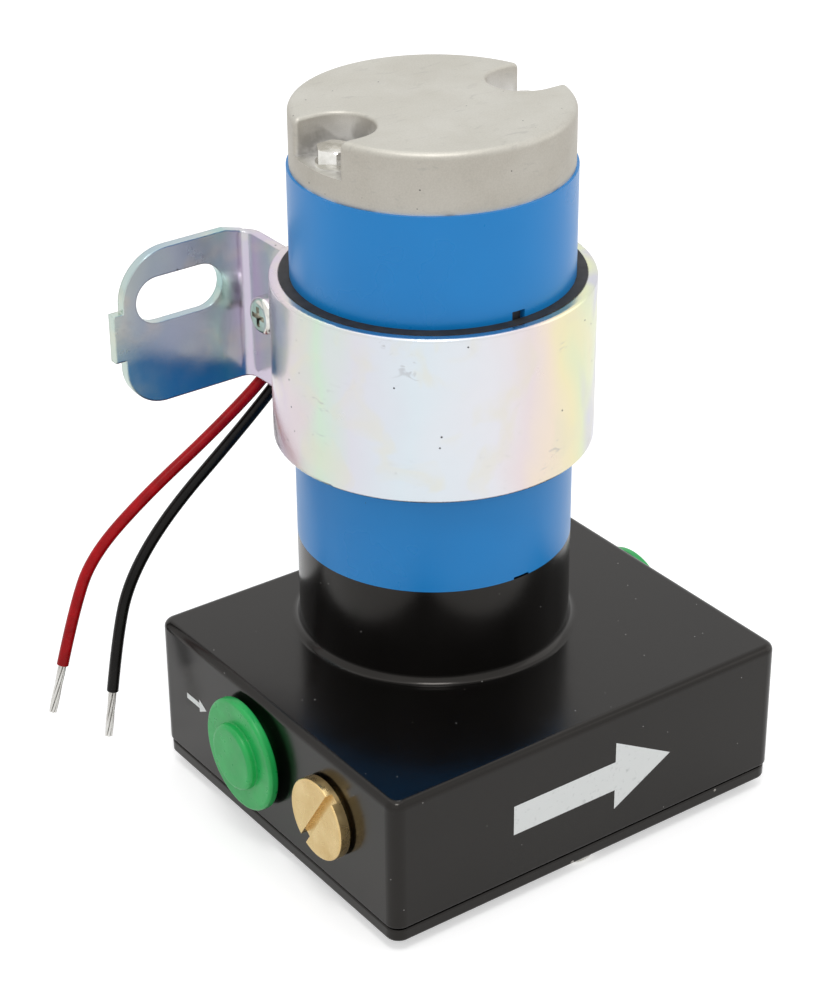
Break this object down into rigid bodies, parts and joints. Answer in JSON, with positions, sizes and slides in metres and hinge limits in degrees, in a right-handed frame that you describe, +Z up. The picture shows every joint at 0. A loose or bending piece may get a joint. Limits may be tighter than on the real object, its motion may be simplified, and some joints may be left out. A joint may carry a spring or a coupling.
{
  "type": "electric fuel pump",
  "caption": "Inline electric fuel pump: blue motor can on a black pump block with side ports, a clamp bracket and two bare leads.",
  "frame": {"origin": "on the bracket's rear mounting face, halfway between the two slots", "axes": "+X along the pump block from the inlet port to the outlet port, +Y out of the bracket's mounting face to the back, +Z up along the motor's axis"},
  "size_m": [0.1393, 0.1036, 0.1632],
  "materials": {
    "black_casting": "gloss black powder coat on an aluminium casting",
    "plate_black": "gloss black paint",
    "gasket_paper": "dark pressed fibre",
    "zinc_steel": "pale zinc plate",
    "zinc_iridescent": "iridescent zinc plate",
    "cast_aluminium": "bead-blasted casting",
    "can_blue": "semi-gloss blue paint on steel",
    "green_plastic": "semi-gloss moulding",
    "brass_turned": "turned brass",
    "bronze_sintered": "sintered bronze",
    "black_rubber": "matt rubber",
    "plain_steel": "machined steel",
    "rotor_steel": "sintered steel",
    "lamination_steel": "laminated steel",
    "magnet_ferrite": "ferrite",
    "copper": "copper",
    "brown_laminate": "phenolic laminate",
    "carbon": "carbon",
    "red_insulation": "red wire insulation",
    "black_insulation": "black wire insulation",
    "tinned_copper": "tinned strands"
  },
  "bodies": {
    "pump": {"pump_body": "black_casting", "motor_collar": "black_casting", "cover_plate": "plate_black", "cover_gasket": "gasket_paper", "cover_screws": "zinc_steel", "relief_cap": "brass_turned", "relief_cap_seal": "black_rubber", "relief_spring": "plain_steel", "lower_bushing": "bronze_sintered", "shaft_seal": "black_rubber", "upper_bushing": "bronze_sintered", "front_magnet": "magnet_ferrite", "rear_magnet": "magnet_ferrite", "motor_can": "can_blue", "can_seal": "black_rubber", "end_cap": "cast_aluminium", "through_bolts": "zinc_steel", "bolt_washers": "zinc_steel", "brush_plate": "brown_laminate", "front_brush_holder": "brass_turned", "rear_brush_holder": "brass_turned", "front_brush_spring": "plain_steel", "rear_brush_spring": "plain_steel", "clamp_band": "zinc_iridescent", "band_liner": "black_rubber", "clamp_screw": "zinc_steel", "clamp_washer": "zinc_steel", "clamp_nut": "zinc_steel", "lead_grommet": "black_rubber", "red_lead": "red_insulation", "black_lead": "black_insulation", "red_lead_strands": "tinned_copper", "black_lead_strands": "tinned_copper"},
    "rotor": {"armature_shaft": "plain_steel", "armature_core": "lamination_steel", "armature_windings": "copper", "commutator": "copper", "inner_rotor": "rotor_steel", "drive_pin": "plain_steel", "lower_thrust_washer": "brown_laminate", "upper_thrust_washer": "brown_laminate"},
    "outer_ring": {"outer_rotor": "rotor_steel"},
    "relief_piston": {"relief_plunger": "plain_steel"},
    "brush_in_front": {"front_brush": "carbon"},
    "brush_behind": {"rear_brush": "carbon"},
    "plug_in_inlet": {"inlet_plug": "green_plastic"},
    "plug_in_outlet": {"outlet_plug": "green_plastic"}
  },
  "joints": [
    {"name": "rotor_spin", "type": "hinge", "parent": "pump", "child": "rotor", "pos_m": [0, -0.0456, 0], "axis": [0, 0, 1], "continuous": true},
    {"name": "outer_ring_spin", "type": "hinge", "parent": "pump", "child": "outer_ring", "pos_m": [0, -0.0475, 0], "axis": [0, 0, 1], "continuous": true},
    {"name": "relief_slide", "type": "slide", "parent": "pump", "child": "relief_piston", "axis": [-1, 0, 0], "range_m": [0, 0.005], "stiffness_N_per_m": 1500, "springref_m": -0.008, "deforming": ["relief_spring"]},
    {"name": "front_brush_slide", "type": "slide", "parent": "pump", "child": "brush_in_front", "axis": [0, -1, 0], "range_m": [0, 0.003], "stiffness_N_per_m": 300, "springref_m": -0.006, "deforming": ["front_brush_spring"]},
    {"name": "rear_brush_slide", "type": "slide", "parent": "pump", "child": "brush_behind", "axis": [0, 1, 0], "range_m": [0, 0.003], "stiffness_N_per_m": 300, "springref_m": -0.006, "deforming": ["rear_brush_spring"]},
    {"name": "inlet_plug_pull", "type": "slide", "parent": "pump", "child": "plug_in_inlet", "axis": [-1, 0, 0], "range_m": [0, 0.06]},
    {"name": "outlet_plug_pull", "type": "slide", "parent": "pump", "child": "plug_in_outlet", "axis": [1, 0, 0], "range_m": [0, 0.06]}
  ],
  "couplings": [
    {"joint": "outer_ring_spin", "follows": "rotor_spin", "ratio": 0.85714}
  ]
}
